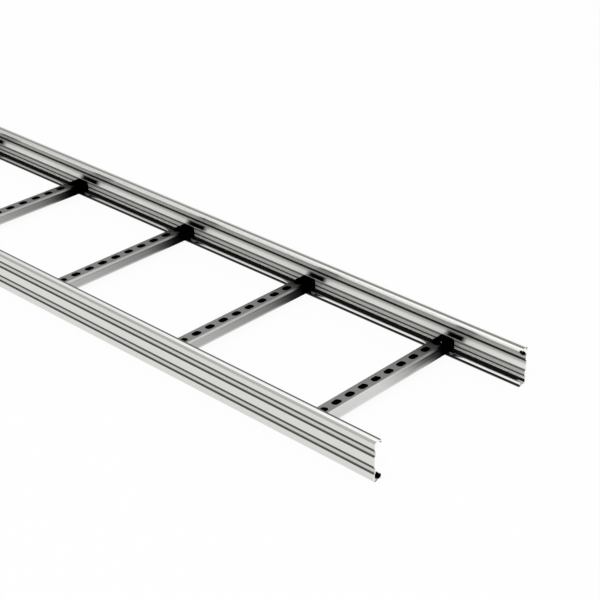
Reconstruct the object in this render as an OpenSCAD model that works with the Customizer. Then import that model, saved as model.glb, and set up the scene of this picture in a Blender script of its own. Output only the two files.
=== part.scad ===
// Cable ladder section: two roll-formed side rails with folded, slotted rungs welded between them.
// The origin is at the middle of the ladder's underside. X runs along the ladder, Y across it and
// Z upwards. The near rail is on the -Y side.

/* [Ladder] */
// Length of the section, from end to end of the rails
ladder_l = 3000; // [1000:250:6000]
// Overall width, from outside to outside of the rails
ladder_w = 300; // [150:50:600]
// Distance between the centres of two neighbouring rungs
rung_pitch = 250; // [200:50:400]

/* [Rail section] */
// Overall height of a side rail
rail_h = 55; // [50:1:100]
// Thickness of the rails' sheet
rail_t = 1.5; // [1:0.1:2]
// Overall width of the top flange, from the web's outer face to the lip's free face
top_flange_w = 13; // [10:0.5:20]
// Depth of the lip folded down from the top flange, measured from the rail's top
top_lip_h = 5; // [4:0.5:6]
// Overall width of the bottom flange, from the web's outer face to the lip's free face
bottom_flange_w = 13; // [10:0.5:20]
// Height of the lip folded up from the bottom flange, on which the rungs rest
bottom_lip_h = 7; // [5:0.5:9]
// Outer radius of the four folds between web, flanges and lips
rail_fold_r = 2.5; // [2.2:0.1:3]

/* [Stiffening beads] */
// Height of the lower bead's centre line above the rail's underside
lower_bead_h = 16; // [13:0.5:17]
// Depth of the upper bead's centre line below the rail's top
upper_bead_drop = 15.5; // [13:0.5:17]
// Width of a bead
bead_w = 8; // [6:0.5:9]
// Depth of a bead, which is a groove outside and a ridge inside the ladder
bead_depth = 1.5; // [1:0.1:2]
// Height over which the slanted wall at each side of a bead runs
bead_slant_h = 1.2; // [0.8:0.1:1.5]
// Inner radius of the folds at the sides of a bead
bead_fold_r = 0.4; // [0.3:0.1:0.5]

/* [Rungs] */
// Width of a rung, along the ladder
rung_w = 24; // [20:1:40]
// Height of a rung
rung_h = 15; // [10:0.5:20]
// Thickness of the rungs' sheet
rung_t = 1.5; // [1:0.1:2]
// Outer radius of the two folds along a rung
rung_fold_r = 4; // [2.5:0.1:5]
// Gap for the weld between each end of a rung and the bead that it butts against
weld_gap = 0.2; // [0:0.1:0.5]

/* [Slots] */
// Distance between the centres of two neighbouring slots in a rung
slot_pitch = 25; // [20:1:30]
// Length of a slot from end to end, across the ladder
slot_l = 15; // [13:0.5:18]
// Width of a slot
slot_w = 10; // [5:0.5:12]
// Least length of plain sheet between the last slot and the end of the rung
slot_margin = 12; // [5:1:20]

/* [Hidden] */
// As many rungs as the length takes, spread evenly about the middle of the ladder
rung_count = floor(ladder_l / rung_pitch);
first_rung_x = -(rung_count - 1) * rung_pitch / 2;

// A rung reaches from bead to bead, and its slots lie evenly about its middle
rung_l = ladder_w - 2 * (rail_t + bead_depth + weld_gap);
slots_each_side = floor((rung_l / 2 - slot_margin - slot_l / 2) / slot_pitch);

// How far a slot's cutter reaches past each face of the sheet
cut = 1;

// Flat facets in a fold between flat walls, and in a fold at the side of a bead
corner_steps = 8;
bead_steps = 4;
$fn = 64;

function rung_name(k) = str("rung_", k < 10 ? "0" : "", k);

function unit(v) = v / norm(v);

function left_of(v) = [-v.y, v.x];

function turned(v, angle) = [
    v.x * cos(angle) - v.y * sin(angle),
    v.x * sin(angle) + v.y * cos(angle)
];

function backwards(points) = [for (i = [len(points) - 1:-1:0]) points[i]];

// The arc that a folded sheet's face follows round one fold, at a distance "side" to the left of
// the sheet's centre line. A fold is [corner, radius on the centre line, number of facets].
function fold_arc(fold, into, out, side) =
    let (
        way = sign(into.x * out.y - into.y * out.x),
        turn = acos(into * out),
        start = fold[0] - fold[1] * tan(turn / 2) * into,
        centre = start + way * fold[1] * left_of(into),
        spoke = -way * (fold[1] - way * side) * left_of(into)
    )
    [for (i = [0:fold[2]]) centre + turned(spoke, way * turn * i / fold[2])];

// One face of a folded sheet, from its first edge through its folds to its last edge
function sheet_face(first, folds, last, side) =
    let (
        points = concat([first], [for (f = folds) f[0]], [last]),
        ways = [for (i = [1:len(points) - 1]) unit(points[i] - points[i - 1])],
        n = len(folds)
    )
    concat(
        [first + side * left_of(ways[0])],
        [for (i = [0:n - 1]) each fold_arc(folds[i], ways[i], ways[i + 1], side)],
        [last + side * left_of(ways[n])]
    );

// Outline of a sheet of thickness t that is folded along the given centre line
function folded_sheet(first, folds, last, t) = concat(
    sheet_face(first, folds, last, t / 2),
    backwards(sheet_face(first, folds, last, -t / 2))
);

// Radius of a bead's folds on the centre line, at most what its slanted wall has room for
function bead_centre_r() =
    let (
        wall = norm([bead_depth, bead_slant_h]),
        turn = atan2(bead_depth, bead_slant_h)
    )
    min(rail_t / 2 + bead_fold_r, 0.48 * wall / tan(turn / 2));

// The four folds of a bead whose middle is at height h, from the top down
function bead_folds(h) =
    let (
        flat = rail_t / 2,
        crest = flat + bead_depth,
        r = bead_centre_r(),
        foot = (bead_w + bead_slant_h) / 2,
        shoulder = (bead_w - bead_slant_h) / 2
    )
    [
        [[flat, h + foot], r, bead_steps],
        [[crest, h + shoulder], r, bead_steps],
        [[crest, h - shoulder], r, bead_steps],
        [[flat, h - foot], r, bead_steps]
    ];

// Section of a side rail: [distance inwards from the web's outer face, height above the bottom]
function rail_outline() =
    let (
        half = rail_t / 2,
        r = rail_fold_r - half,
        top_lip = top_flange_w - half,
        bottom_lip = bottom_flange_w - half
    )
    folded_sheet(
        [top_lip, rail_h - top_lip_h],
        concat(
            [[[top_lip, rail_h - half], r, corner_steps], [[half, rail_h - half], r, corner_steps]],
            bead_folds(rail_h - upper_bead_drop),
            bead_folds(lower_bead_h),
            [[[half, half], r, corner_steps], [[bottom_lip, half], r, corner_steps]]
        ),
        [bottom_lip, bottom_lip_h],
        rail_t
    );

// Section of a rung: an inverted U, [distance along the ladder, height above its feet]
function rung_outline() =
    let (
        half = rung_t / 2,
        r = rung_fold_r - half,
        leg = rung_w / 2 - half
    )
    folded_sheet(
        [-leg, 0],
        [[[-leg, rung_h - half], r, corner_steps], [[leg, rung_h - half], r, corner_steps]],
        [leg, 0],
        rung_t
    );

module side_rail() {
    translate([0, -ladder_w / 2, 0])
        rotate([90, 0, 90])
            linear_extrude(height = ladder_l, center = true)
                polygon(rail_outline());
}

module rail_near() {
    color("gainsboro")
        side_rail();
}

module rail_far() {
    color("gainsboro")
        mirror([0, 1, 0])
            side_rail();
}

// Cutter for one slot, from below to above a sheet whose underside is at z = 0
module slot_cutter() {
    straight = slot_l - slot_w;
    depth = rung_t + 2 * cut;
    translate([0, 0, -cut]) {
        for (y = [-straight / 2, straight / 2])
            translate([0, y, 0])
                cylinder(d = slot_w, h = depth);
        translate([-slot_w / 2, -straight / 2, 0])
            cube([slot_w, straight, depth]);
    }
}

// A rung, standing on the rails' bottom lips
module rung(k) {
    color("silver")
        translate([first_rung_x + (k - 1) * rung_pitch, 0, bottom_lip_h])
            difference() {
                rotate([90, 0, 0])
                    linear_extrude(height = rung_l, center = true)
                        polygon(rung_outline());
                for (i = [-slots_each_side:slots_each_side])
                    translate([0, i * slot_pitch, rung_h - rung_t])
                        slot_cutter();
            }
}

rail_near();
rail_far();
for (k = [1:rung_count])
    rung(k);
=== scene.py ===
import math

import bmesh
import bpy
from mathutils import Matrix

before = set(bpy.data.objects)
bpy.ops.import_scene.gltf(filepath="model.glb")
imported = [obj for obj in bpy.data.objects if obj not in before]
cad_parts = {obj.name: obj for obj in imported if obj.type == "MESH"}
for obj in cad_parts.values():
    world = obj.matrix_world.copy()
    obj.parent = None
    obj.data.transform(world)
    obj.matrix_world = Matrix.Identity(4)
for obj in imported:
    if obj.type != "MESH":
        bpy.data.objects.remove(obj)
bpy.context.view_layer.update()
print("frame loaded,", len(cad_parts), "nodes")

# Camera
camera = {
    "place": (2.41341, -1.25758, 1.01941),
    "turn": (61.4946, -0.0137, 42.9308),    # degrees about X, Y and Z
    "lens": 90.34,
    "sensor": 36.0,
    "reach": 100.0,
}

cameraData = bpy.data.cameras.new("ladderCamera")
cameraData.lens = camera["lens"]
cameraData.sensor_width = camera["sensor"]
cameraData.clip_end = camera["reach"]
cameraObject = bpy.data.objects.new("ladderCamera", cameraData)
cameraObject.location = camera["place"]
cameraObject.rotation_euler = [math.radians(angle) for angle in camera["turn"]]
bpy.context.collection.objects.link(cameraObject)
bpy.context.scene.camera = cameraObject
print("camera placed")


# One socket of a node tree. Maths on it adds Math nodes, so that a mask reads as a formula.
class Shade:
    def __init__(self, tree, socket=None):
        self.tree = tree
        self.socket = socket

    # Any node: its type, its settings, then the value or link of each socket
    def node(self, kind, settings, sockets, out=0):
        made = self.tree.nodes.new(kind)
        for name, value in settings.items():
            setattr(made, name, value)
        for name, value in sockets.items():
            if isinstance(value, Shade):
                self.tree.links.new(value.socket, made.inputs[name])
            else:
                made.inputs[name].default_value = value
        return Shade(self.tree, made.outputs[out])

    def maths(self, operation, *values):
        return self.node("ShaderNodeMath", {"operation": operation}, dict(enumerate(values)))

    def __add__(self, other):
        return self.maths("ADD", self, other)

    def __radd__(self, other):
        return self.maths("ADD", other, self)

    def __sub__(self, other):
        return self.maths("SUBTRACT", self, other)

    def __rsub__(self, other):
        return self.maths("SUBTRACT", other, self)

    def __mul__(self, other):
        return self.maths("MULTIPLY", self, other)

    def __rmul__(self, other):
        return self.maths("MULTIPLY", other, self)

    def __abs__(self):
        return self.maths("ABSOLUTE", self)

    def sign(self):
        return self.maths("SIGN", self)

    def fraction(self):
        return self.maths("FRACT", self)

    def smaller(self, other):
        return self.maths("MINIMUM", self, other)

    def larger(self, other):
        return self.maths("MAXIMUM", self, other)

    # A plain number as a socket
    def plain(self, value):
        made = self.node("ShaderNodeValue", {}, {})
        made.socket.default_value = value
        return made

    # 0 below start, 1 above end, smooth between them
    def rise(self, start, end):
        return self.node("ShaderNodeMapRange", {"interpolation_type": "SMOOTHSTEP"},
                         {"Value": self, "From Min": start, "From Max": end, "To Min": 0, "To Max": 1})

    # 1 below start, 0 above end
    def fall(self, start, end):
        return 1 - self.rise(start, end)

    # 0 below a limit and 1 above it, with an edge of the given softness
    def above(self, limit, soft):
        return self.rise(limit - soft / 2, limit + soft / 2)

    # 1 below a limit and 0 above it
    def below(self, limit, soft):
        return 1 - self.above(limit, soft)

    # 1 between low and high
    def band(self, low, high, soft):
        return self.above(low, soft) * self.below(high, soft)

    # 1 in an oval about the point where this and the other value are 0
    def spot(self, other, halfWidth, halfHeight, soft):
        wide = self * (1 / halfWidth)
        high = other * (1 / halfHeight)
        return (wide * wide + high * high).fall(1 - soft, 1 + soft)

    # This value, and another one where the mask is 1
    def under(self, mask, other):
        return self.node("ShaderNodeMix", {"data_type": "FLOAT"}, {"Factor": mask, "A": self, "B": other})

    # This value, and a grey where the mask is 1
    def painted(self, mask, level):
        return self.under(mask, grey(level))

    # Runs from one grey where this is 0 to another where it is 1
    def between(self, first, last):
        return self.plain(grey(first)).painted(self, last)

    # A dark to light value as a colour of the given tint. The node's colour sockets, 6, 7 and 2, go by
    # number, because its plain ones have the same names.
    def tinted(self, tint):
        return self.node("ShaderNodeMix", {"data_type": "RGBA"},
                         {"Factor": self, 6: (0, 0, 0, 1), 7: (*tint, 1)}, 2)

    def parts(self):
        made = self.node("ShaderNodeSeparateXYZ", {}, {0: self}).socket.node
        return [Shade(self.tree, output) for output in made.outputs]


# The value that renders as the given grey, by the sRGB curve
def grey(level):
    share = level / 255
    return share / 12.92 if share <= 0.04045 else ((share + 0.055) / 1.055) ** 2.4


# A new material, with its principled shader and the start for its formulas
def newMaterial(name):
    material = bpy.data.materials.new(name)
    material.use_nodes = True
    shader = material.node_tree.nodes["Principled BSDF"]
    shader.inputs["Specular IOR Level"].default_value = 0.0
    return material, shader, Shade(material.node_tree)


# Where a point is, in millimetres
def placeOf(start):
    millimetres = 1000
    place = start.node("ShaderNodeTexCoord", {}, {}, "Object")
    return start.node("ShaderNodeVectorMath", {"operation": "SCALE"}, {0: place, "Scale": millimetres})


# Which way the surface faces there
def facingOf(start):
    return start.node("ShaderNodeTexCoord", {}, {}, "Normal")


# How far a point lies from the nearest rung's centre line, along the ladder
def fromNearestRung(x):
    return ((x * (1 / rung["pitch"])).fraction() - 0.5) * rung["pitch"]


# 1 for the camera, and for what is seen in metal or through glass
def seenPlainly(start):
    seen = start.node("ShaderNodeLightPath", {}, {}, "Is Camera Ray")
    mirrored = start.node("ShaderNodeLightPath", {}, {}, "Is Glossy Ray")
    through = start.node("ShaderNodeLightPath", {}, {}, "Is Transmission Ray")
    return (seen + mirrored + through).smaller(1)


# Streaks that rolling leaves in a sheet, along the given axis, and the faint crystals of its zinc
def rolledZinc(place, axis, finish):
    stretch = [finish["streakWidth"]] * 3
    stretch[axis] = finish["streakLength"]
    scaled = place.node("ShaderNodeVectorMath", {"operation": "DIVIDE"}, {0: place, 1: stretch})
    noise = place.node("ShaderNodeTexNoise", {},
                       {"Vector": scaled, "Scale": 1.0, "Detail": finish["streakDetail"]})
    crystals = place.node("ShaderNodeTexVoronoi", {},
                          {"Vector": place, "Scale": 1 / finish["crystal"]}, "Color")
    return noise - 0.5, crystals.parts()[0] - 0.5


# Joins a finish's shade, roughness, relief and metal to its shader
def applyFinish(shader, place, axis, shade, metal, finish):
    tree = shade.tree
    streaks, crystal = rolledZinc(place, axis, finish)
    worn = shade * (1 + streaks * finish["streakShade"] + crystal * finish["crystalShade"])
    rough = finish["roughness"] + streaks * finish["streakRough"] + crystal * finish["crystalRough"]
    relief = shade.node("ShaderNodeBump", {},
                        {"Strength": finish["bump"], "Distance": finish["bumpDepth"], "Height": streaks})
    tree.links.new(worn.tinted(finish["tint"]).socket, shader.inputs["Base Color"])
    tree.links.new(rough.socket, shader.inputs["Roughness"])
    tree.links.new(relief.socket, shader.inputs["Normal"])
    tree.links.new(metal.socket, shader.inputs["Metallic"])


# Rails. Depths run inwards from the web's outer face and heights upwards from the rail's underside.
# A pair of places holds a strip's two edges, or where a change starts and where it ends.
rail = {
    # Section
    "halfWidth": 150.0,             # middle of the ladder to the web's outer face
    "halfLength": 1500.0,
    "middle": (-1.0, 1.0),          # across the ladder, where the near half ends and the far one starts
    "lowerBead": 16.0,              # heights of the beads' centre lines
    "upperBead": 39.5,
    "beadEdge": (3.6, 4.4),         # distances from a bead's centre line
    "upperHalf": (27.25, 28.25),
    "wallDepth": (3.3, 3.5),        # the inside of the web and its ridges lie no deeper
    "webDepths": (1.45, 1.9),       # the inside of the web without its ridges
    "lipDepth": (12.2, 12.6),       # the faces of the lips that look into the ladder lie deeper
    "lipBackDepths": (11.3, 11.7),
    "fade": (300, 1500),            # along the ladder, where the top and the bottom lip grow lighter, as painted light

    # Which way a surface faces, by parts of its normal
    "facingIn": (-0.2, 0.2),
    "facingOut": (0.3, 0.6),
    "barelyUp": (0.0, 0.1),
    "partlyUp": (0.1, 0.4),
    "mostlyUp": (0.5, 0.8),
    "endways": (0.8, 0.9),

    # Web, in painted shade: greys for the bands of its two sides, darker inside towards the top, and
    # painted dark lines along the beads
    "outside": 218,
    "groove": 200,
    "grooveLine": 74,
    "insideLow": 244,
    "insideHigh": 172,
    "insideFade": (26.0, 33.5),     # the heights between those two
    "foot": 236,
    "footHeight": (15.0, 17.0),
    "crest": 186,
    "upperCrest": 182,
    "ledge": (-5.2, -2.8),          # the painted dark line on a bead's edge that faces up
    "ledgeLine": 104,
    "overhang": (1.8, 6.3),         # the painted dark line about its edge that faces down
    "footOverhang": (2.0, 5.5),     # the same under the lower ridge, inside
    "overhangLine": 79,
    "upperOverhangLine": 34,
    "lineSoft": 0.3,
    "crisp": 0.1,                   # softness of the edges that pick out one face of the sheet

    # Lips, in painted light and shade
    "upperLip": 190,
    "lipFace": (158, 240),          # the greys before and after the fade
    "lipTop": (145, 222),
    "lipTopHeight": (6.3, 6.8),
    "topFold": (51.0, 52.4),
    "light": 250,                   # painted highlights on folds and patches, and the bright cut ends
    "lipFold": 15,                  # painted shade on the fold that the bottom lip stands on, also used at the joints
    "lipFoldHeight": (3.6, 3.9),
    "lipFoldDepth": (10.0, 10.5),

    # Top, in painted light and shade: a light flange with painted dark lines of shade and reflection along
    # its folds and edges
    "top": (200, 246),
    "topHeight": (52.7, 53.3),
    "topOuterFold": 173,
    "topOuterFoldDepth": (2.4, 4.2),
    "topInnerEdge": 98,
    "topInnerEdgeDepth": (7.9, 9.1),
    "topOuterEdge": 130,
    "topOuterEdgeDepths": (4.4, 9.8),
    "topOuterEdgeSoft": 0.8,

    # Painted shade and reflection at the joints, measured from a rung's centre line
    "markGrowth": ((0.25, 900, 1375), (0.1, 300, 900)),     # how much longer they get, and where
    "rungReflection": (-3.5, 26.5),         # the painted reflection of the rung's dark end, on the web
    "rungReflectionBottom": (20.8, 22.8),
    "rungReflectionTop": (28.5, 33.0),
    "rungReflectionMiddle": 25.0,
    "rungReflectionSlant": 0.4,
    "rungReflectionSoft": 10.0,
    "rungReflectionShade": (40, 3),
    "rungReflectionTurn": (-7, 9),          # where the first of these greys turns into the second
    "jointShadeReach": (19.0, 30.0),       # painted shade: the bottom lip is dark up to here
    "jointShadeHeight": 4.3,
    "jointShadeSlant": 4.0,
    "jointSpot": 110,                # the lighter spot either side, on the same lip
    "jointSpotAt": (14.9, 5.4),
    "jointSpotHalf": (3.4, 2.1),
    "jointSpotSoft": 0.6,

    # Channel along the bottom, behind the lip, painted dark as shadow
    "channel": 34,
    "channelDepths": (1.35, 5.6),
    "channelHeights": (1.4, 6.7),
    "channelEndHeight": (1.6, 2.4),     # up to here the end of its floor is light
    "mouthFloorStart": (6.5, 8.0),      # the floor in the near rail's open end, painted dark as shadow
    "mouthFloorEnd": (11.4, 11.6),
    "mouthFloorHeights": (1.4, 4.0),
    "lowHeight": (6.4, 7.0),
    # the black of painted shadow in hollows and open ends
    "hollow": 5,

    # Ends, by distance from the rail's end, with painted shadow and a painted light patch in the open ends
    "mouth": (12, 9),
    "openFloor": (12, 8),
    "cut": (0.2, 0.1),
    "mouthLight": (44.0, 50.5),     # heights of a painted light patch on the web
    "webSpot": (5.5, 43.8),         # distance and height of a spot of painted shadow
    "webSpotHalf": (4.2, 2.8),
    "lipSpot": (0.5, 51.0),
    "lipSpotHalf": (3.2, 3.0),
    "endSpotSoft": 0.3,
    "cutSoft": 0.3,
    "cutMarks": (
        {"side": "far", "heights": (53.35, 56.0), "depths": (-1.0, 4.5), "shade": 130},
        {"side": "far", "heights": (49.0, 53.0), "depths": (10.75, 14.0), "shade": 5},
        {"side": "near", "heights": (-1.0, 1.7), "depths": (1.0, 6.0), "shade": 60},
        {"side": "far", "heights": (-1.0, 2.8), "depths": (10.0, 14.0), "shade": 5},
        {"side": "near", "heights": (2.2, 7.2), "depths": (10.8, 14.0), "shade": 5},
    ),

    # Finish
    "tint": (1.0, 1.0, 0.965),
    "matt": 0.8,                    # how far the matt areas are from being metal
    "mattHeights": (6.7, 44.5),
    "mattSoft": 0.6,
    "innerFoldDepth": (10.4, 10.8),
    "innerFoldHeight": (51.6, 52.2),
    "outerFoldDepth": (3.0, 3.6),
    "outerFoldHeight": (51.8, 52.4),
    "endFloorHeight": (2.3, 2.5),
    "roughness": 0.22,
    "streakWidth": 0.7,
    "streakLength": 160.0,
    "streakDetail": 3.0,
    "streakShade": 0.05,
    "streakRough": 0.10,
    "crystal": 6.0,
    "crystalShade": 0.025,
    "crystalRough": 0.04,
    "bump": 0.04,
    "bumpDepth": 0.0001,
}


# Where a point of a rail lies, and masks of the surfaces that it can be on
class RailPoint:
    def __init__(self, place, facing):
        x, y, z = place.parts()
        facingX, facingY, facingZ = facing.parts()
        self.z = z
        self.facingZ = facingZ
        self.near = y.fall(*rail["middle"])
        self.far = 1 - self.near
        self.depth = rail["halfWidth"] - abs(y)
        self.outward = facingY * y.sign()               # 1 outside the web, -1 inside it
        self.inside = self.outward.fall(*rail["facingIn"])
        self.upper = z.rise(*rail["upperHalf"])
        self.low = z.fall(*rail["lowHeight"])
        self.lengthwise = x.rise(*rail["fade"])
        self.wall = self.depth.fall(*rail["wallDepth"]) * self.inside
        self.lipFace = self.depth.rise(*rail["lipDepth"]) * self.inside
        self.lowerLip = self.lipFace * (1 - self.upper)
        self.lipBack = self.depth.band(*rail["lipBackDepths"], rail["crisp"])
        self.lipBack = self.lipBack * self.outward.rise(*rail["facingOut"])

        self.fromMiddle = abs(x)
        self.mouth = self.atEnd(*rail["mouth"])
        self.openFloor = self.atEnd(*rail["openFloor"])
        self.cut = self.atEnd(*rail["cut"]) * abs(facingX).rise(*rail["endways"])

        growth = 1
        for share, start, end in rail["markGrowth"]:
            growth = growth - share * x.fall(start, end)
        self.fromRung = fromNearestRung(x) * growth

    # 0 further than the first distance from the rail's end, 1 nearer than the second
    def atEnd(self, first, second):
        return self.fromMiddle.rise(rail["halfLength"] - first, rail["halfLength"] - second)


# The web's two sides in painted shade: grooves outside are ridges inside, so their painted dark lines turn
# upside down
def webShade(at):
    turn = 1 - 2 * at.inside
    fromLower = at.z - rail["lowerBead"]
    fromUpper = at.z - rail["upperBead"]
    bead = abs(fromLower).smaller(abs(fromUpper)).fall(*rail["beadEdge"])
    lower = fromLower * turn
    upper = fromUpper * turn
    soft = rail["lineSoft"]
    ledge = lower.band(*rail["ledge"], soft) + upper.band(*rail["ledge"], soft)
    overhang = lower.band(*rail["overhang"], soft).under(at.inside, lower.band(*rail["footOverhang"], soft))
    overhang = overhang + upper.band(*rail["overhang"], soft)

    outer = bead.between(rail["outside"], rail["groove"]).painted(ledge + overhang, rail["grooveLine"])
    inner = at.z.rise(*rail["insideFade"]).between(rail["insideLow"], rail["insideHigh"])
    inner = inner.painted(at.z.fall(*rail["footHeight"]), rail["foot"])
    inner = inner.under(bead, at.upper.between(rail["crest"], rail["upperCrest"]))
    inner = inner.painted(ledge, rail["ledgeLine"])
    inner = inner.under(overhang, at.upper.between(rail["overhangLine"], rail["upperOverhangLine"]))
    return outer.under(at.inside, inner)


# The faces of the two lips that look into the ladder, in painted light: lighter along the ladder, with a
# painted highlight where the upper lip meets the top fold
def addLips(shade, at):
    shade = shade.painted(at.lipFace * at.upper, rail["upperLip"])
    shade = shade.under(at.lowerLip, at.lengthwise.between(*rail["lipFace"]))
    shade = shade.painted(at.lipFace * at.z.rise(*rail["topFold"]), rail["light"])
    lipTop = at.lowerLip * at.z.rise(*rail["lipTopHeight"])
    return shade.under(lipTop, at.lengthwise.between(*rail["lipTop"]))


# Painted shade on the bottom lip, either side of a rung
def jointShadeMask(at):
    slanted = abs(at.fromRung) - (at.z - rail["jointShadeHeight"]) * rail["jointShadeSlant"]
    return at.lowerLip * slanted.fall(*rail["jointShadeReach"])


# A lighter spot either side of a rung, within that painted shade on the bottom lip
def jointSpotMask(at):
    along, height = rail["jointSpotAt"]
    halfWidth, halfHeight = rail["jointSpotHalf"]
    spot = (abs(at.fromRung) - along).spot(at.z - height, halfWidth, halfHeight, rail["jointSpotSoft"])
    return at.lipFace * spot


# Painted reflection of a rung's dark end, on the web beside it
def rungReflectionMask(at):
    slanted = at.fromRung - (at.z - rail["rungReflectionMiddle"]) * rail["rungReflectionSlant"]
    rungReflection = slanted.band(*rail["rungReflection"], rail["rungReflectionSoft"])
    return rungReflection * at.z.rise(*rail["rungReflectionBottom"]) * at.z.fall(*rail["rungReflectionTop"]) * at.wall


# Painted shade on the fold that the bottom lip stands on
def lipFoldMask(at):
    return at.depth.rise(*rail["lipFoldDepth"]) * at.z.fall(*rail["lipFoldHeight"]) * at.inside


# The top flange in painted light, lighter along the ladder, with painted shade on the near rail's outer
# fold and painted dark lines along its edges
def addTop(shade, at):
    top = at.z.rise(*rail["topHeight"]) * at.facingZ.rise(*rail["partlyUp"])
    shade = shade.under(top, at.lengthwise.between(*rail["top"]))
    shade = shade.painted(top * at.depth.fall(*rail["topOuterFoldDepth"]) * at.near, rail["topOuterFold"])
    shade = shade.painted(top * at.depth.rise(*rail["topInnerEdgeDepth"]) * at.near, rail["topInnerEdge"])
    outerEdge = at.depth.band(*rail["topOuterEdgeDepths"], rail["topOuterEdgeSoft"])
    return shade.painted(top * outerEdge * at.far, rail["topOuterEdge"])


# The channel behind the bottom lip, painted dark as shadow, whose floor is light where it runs out
def channelMask(at):
    crisp = rail["crisp"]
    web = at.depth.band(*rail["webDepths"], crisp) * at.inside
    channel = at.depth.band(*rail["channelDepths"], crisp) * at.z.band(*rail["channelHeights"], crisp)
    openEnd = at.openFloor * at.z.fall(*rail["channelEndHeight"])
    return channel * (at.far + web * at.near) * (1 - openEnd)


# Painted shadow on what is seen in the near rail's open end
def mouthMask(at):
    bottom = at.depth.rise(*rail["mouthFloorStart"]) * at.depth.fall(*rail["mouthFloorEnd"])
    bottom = bottom * at.z.band(*rail["mouthFloorHeights"], rail["crisp"])
    return (at.lipBack * at.low + bottom).smaller(1) * at.near * at.mouth


# Two spots of painted shadow at the rails' ends, on the web and on the upper lip
def endSpotMask(at):
    soft = rail["endSpotSoft"]
    webEnd, webHeight = rail["webSpot"]
    lipEnd, lipHeight = rail["lipSpot"]
    fromEnd = at.fromMiddle - rail["halfLength"]
    onWeb = (fromEnd + webEnd).spot(at.z - webHeight, *rail["webSpotHalf"], soft)
    onLip = (fromEnd + lipEnd).spot(at.z - lipHeight, *rail["lipSpotHalf"], soft)
    return onWeb * at.wall + onLip * at.lipFace


# The cut end of the sheet: light, with dark marks where it turns away from the light
def addCut(shade, at):
    soft = rail["cutSoft"]
    shade = shade.painted(at.cut, rail["light"])
    for mark in rail["cutMarks"]:
        side = at.near if mark["side"] == "near" else at.far
        patch = at.z.band(*mark["heights"], soft) * at.depth.band(*mark["depths"], soft)
        shade = shade.painted(at.cut * patch * side, mark["shade"])
    return shade


# Where the sheet mirrors nothing sharp: its inner faces, its upper folds and its open ends
def mattMask(at):
    web = at.wall * at.z.band(*rail["mattHeights"], rail["mattSoft"])
    lipBack = at.lipBack * at.low * at.far + at.lipBack * at.upper * at.mouth
    innerFold = at.depth.rise(*rail["innerFoldDepth"]) * at.z.rise(*rail["innerFoldHeight"])
    innerFold = innerFold * at.inside.larger(at.facingZ.rise(*rail["barelyUp"]))
    outerFold = at.depth.fall(*rail["outerFoldDepth"]) * at.z.rise(*rail["outerFoldHeight"]) * at.near
    endFloor = at.openFloor * at.z.fall(*rail["endFloorHeight"]) * at.far
    endFloor = endFloor * at.facingZ.rise(*rail["mostlyUp"])
    return web + lipBack + innerFold + outerFold + endFloor


def railSteel():
    material, shader, start = newMaterial("railSteel")
    place = placeOf(start)
    at = RailPoint(place, facingOf(start))
    jointShade = jointShadeMask(at)
    rungReflection = rungReflectionMask(at)
    channel = channelMask(at)
    mouth = mouthMask(at)
    endSpot = endSpotMask(at)

    shade = addLips(webShade(at), at)
    # Painted shade on the bottom lip at the joints, and a lighter spot in it
    shade = shade.painted(jointShade, rail["lipFold"])
    shade = shade.painted(jointSpotMask(at), rail["jointSpot"])
    # The painted reflection of each rung's dark end on the web
    shade = shade.under(rungReflection, at.fromRung.rise(*rail["rungReflectionTurn"]).between(*rail["rungReflectionShade"]))
    shade = shade.painted(lipFoldMask(at), rail["lipFold"])
    shade = addTop(shade, at)
    shade = shade.painted(channel, rail["channel"])
    shade = shade.painted(mouth, rail["hollow"])
    # A painted light patch on the inside of the web at the rails' ends
    light = at.wall * at.z.band(*rail["mouthLight"], rail["lineSoft"]) * at.mouth
    shade = shade.painted(light, rail["light"])
    shade = shade.painted(endSpot, rail["hollow"])
    shade = addCut(shade, at)

    metal = 1 - mattMask(at) * rail["matt"]
    for dark in (jointShade, rungReflection, channel, mouth, endSpot):
        metal = metal * (1 - dark)
    applyFinish(shader, place, 0, shade, metal, rail)
    return material


# Rungs. Places across the ladder run from -150 at the near rail to 150 at the far one, and pairs of
# places are as above.
rung = {
    "pitch": 250.0,
    "lastRung": (1359, 1361),       # beyond this lies the rung with nothing in front of it
    "steep": (0.35, 0.65),          # parts of the normal, as above
    "endways": (0.9, 0.95),

    # Top, from the near rail to the far one, in painted shade: darker towards the far rail and on distant
    # rungs, with a painted highlight on the fold and painted shadow at the far end
    "across": (-110, 130),          # where the first grey of a pair turns into the second
    "top": (131, 115),
    "topEnd": 90,
    "topEndFrom": (60, 112),
    "distantShare": 0.765,          # painted shade: how much of its grey the top keeps on distant rungs
    "distant": (500, 1250),
    # a painted highlight along the fold
    "fold": (196, 150),
    "foldFrom": (7.4, 9.6),         # measured from the rung's centre line
    "foldBlack": (92, 118),
    # painted shadow at the rung's end by the far rail
    "end": 2,
    "endBlack": (108, 123),

    # Flank, in painted light and shade: darker towards the far rail and black at its end, lighter on the
    # rung with nothing in front of it
    "flank": (180, 98),
    "flankBlack": (42, 111),
    "lastFlank": (212, 150),
    "lastAcross": (-20, 90),
    "glow": 240,                    # light that the foot takes up from the floor
    "glowShare": 0.5,
    "glowHeight": (7.0, 11.0),
    "glowEnd": (60, 100),
    "lastGlowShare": 0.3,
    "lastGlowHeight": (9.0, 15.0),
    "lastGlow": (60, 98),
    "lastGlowSoft": 30.0,

    # Inside, which is seen through the slots, painted black as shadow
    "hollow": 3,
    "hollowHalf": (10.6, 10.8),
    "hollowHeight": (21.6, 21.8),
    "hollowSteep": (0.2, 0.4),

    # Finish
    "tint": (1.0, 1.0, 0.975),
    "roughness": 0.34,
    "streakWidth": 0.5,
    "streakLength": 60.0,
    "streakDetail": 3.0,
    "streakShade": 0.06,
    "streakRough": 0.10,
    "crystal": 5.0,
    "crystalShade": 0.03,
    "crystalRough": 0.04,
    "bump": 0.05,
    "bumpDepth": 0.0001,
}


# The rungs in painted light and shade, over one zinc finish
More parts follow.
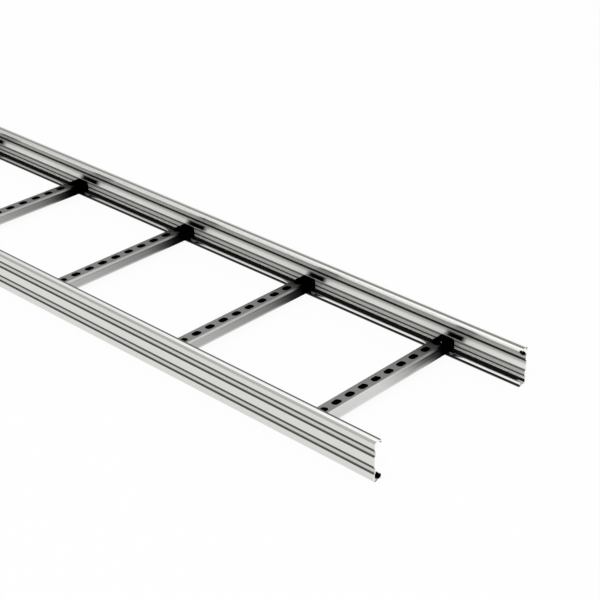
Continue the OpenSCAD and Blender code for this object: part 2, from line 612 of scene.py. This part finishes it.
def rungSteel():
    material, shader, start = newMaterial("rungSteel")
    place = placeOf(start)
    x, y, z = place.parts()
    facingX, _, facingZ = facingOf(start).parts()
    fromCentre = fromNearestRung(x)
    across = y.rise(*rung["across"])
    last = abs(x).rise(*rung["lastRung"])
    lit = y.rise(*rung["lastAcross"]).between(*rung["lastFlank"])
    flank = across.between(*rung["flank"]).under(last, lit) * y.fall(*rung["flankBlack"])
    fold = across.between(*rung["fold"]).under(last, lit) * y.fall(*rung["foldBlack"])
    steep = facingZ.fall(*rung["steep"])

    shade = across.between(*rung["top"]).painted(y.rise(*rung["topEndFrom"]), rung["topEnd"])
    kept = rung["distantShare"]
    shade = shade * (kept + (1 - kept) * x.rise(*rung["distant"]))
    shade = shade.under(fromCentre.rise(*rung["foldFrom"]), fold).under(steep, flank)

    glow = z.fall(*rung["glowHeight"]) * abs(facingX).rise(*rung["endways"]) * y.fall(*rung["glowEnd"])
    shade = shade.painted(glow * rung["glowShare"], rung["glow"])
    lastGlow = z.fall(*rung["lastGlowHeight"]) * y.band(*rung["lastGlow"], rung["lastGlowSoft"])
    shade = shade.painted(lastGlow * last * steep * rung["lastGlowShare"], rung["glow"])

    hollow = abs(fromCentre).fall(*rung["hollowHalf"]) * z.fall(*rung["hollowHeight"])
    hollow = hollow * facingZ.fall(*rung["hollowSteep"])
    end = y.rise(*rung["endBlack"])
    shade = shade.painted(hollow, rung["hollow"]).painted(end, rung["end"])
    applyFinish(shader, place, 1, shade, (1 - hollow) * (1 - end), rung)
    return material


railMaterial = railSteel()
rungMaterial = rungSteel()
for name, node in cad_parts.items():
    node.data.materials.clear()
    node.data.materials.append(railMaterial if name.startswith("rail") else rungMaterial)
print("finishes applied")

# Floor
floor = {
    "size": 30.0,                   # metres
    "colour": (0.92, 0.92, 0.915),
    "roughness": 0.9,
    "shadowShare": 0.06,            # how much of the shading, shadows included, the camera sees
    "contact": (136.4, 142.0),      # painted contact shadow: the dark line where the rails' inner folds meet the floor
    "contactSoft": 0.8,
    "contactEnd": (-0.5, 0.4),      # measured from the rail's end
    "contactShade": 52,
}


def paleFloor():
    material, shader, start = newMaterial("paleFloor")
    shader.inputs["Base Color"].default_value = (*floor["colour"], 1)
    shader.inputs["Roughness"].default_value = floor["roughness"]
    x, y = placeOf(start).parts()[:2]
    fromEnd = abs(x) - rail["halfLength"]
    # A painted contact shadow under the rails' inner folds
    contact = abs(y).band(*floor["contact"], floor["contactSoft"]) * fromEnd.fall(*floor["contactEnd"])
    white = start.node("ShaderNodeEmission", {}, {"Strength": 1.0})
    dark = start.node("ShaderNodeEmission", {}, {"Strength": grey(floor["contactShade"])})
    glow = start.node("ShaderNodeMixShader", {}, {0: contact, 1: white, 2: dark})
    lit = Shade(start.tree, shader.outputs[0])
    share = seenPlainly(start) * (1 - floor["shadowShare"])
    surface = start.node("ShaderNodeMixShader", {}, {0: share, 1: lit, 2: glow})
    start.tree.links.new(surface.socket, start.tree.nodes["Material Output"].inputs["Surface"])
    return material


floorShape = bmesh.new()
bmesh.ops.create_grid(floorShape, x_segments=1, y_segments=1, size=floor["size"] / 2)
floorMesh = bpy.data.meshes.new("floor")
floorShape.to_mesh(floorMesh)
floorShape.free()
floorMesh.materials.append(paleFloor())
floorObject = bpy.data.objects.new("floor", floorMesh)
bpy.context.collection.objects.link(floorObject)
print("floor laid")

# Light
studio = {
    "worldStrength": 0.72,          # what falls on the object; the camera and the metal see plain white
    "lamps": {
        "overhead": {"place": (0.6, -0.6, 3.2), "aim": (0.6, 0.0, 0.0), "size": (4.0, 3.0), "power": 34.0},
        "side": {"place": (3.6, -3.0, 1.8), "aim": (0.9, 0.0, 0.0), "size": (2.4, 2.0), "power": 12.0},
    },
}

world = bpy.data.worlds.new("studio")
world.use_nodes = True
background = world.node_tree.nodes["Background"]
background.inputs["Color"].default_value = (1, 1, 1, 1)
plainly = seenPlainly(Shade(world.node_tree))
strength = plainly * (1 - studio["worldStrength"]) + studio["worldStrength"]
world.node_tree.links.new(strength.socket, background.inputs["Strength"])
bpy.context.scene.world = world

for name, lamp in studio["lamps"].items():
    lampData = bpy.data.lights.new(name, "AREA")
    lampData.shape = "RECTANGLE"
    lampData.size, lampData.size_y = lamp["size"]
    lampData.energy = lamp["power"]
    lampObject = bpy.data.objects.new(name, lampData)
    lampObject.location = lamp["place"]
    rayX, rayY, rayZ = [aim - place for aim, place in zip(lamp["aim"], lamp["place"])]
    tilt = math.atan2(math.hypot(rayX, rayY), -rayZ)
    lampObject.rotation_euler = (tilt, 0, math.atan2(-rayX, rayY))
    bpy.context.collection.objects.link(lampObject)
bpy.context.scene.view_settings.view_transform = "Standard"
print("light set")
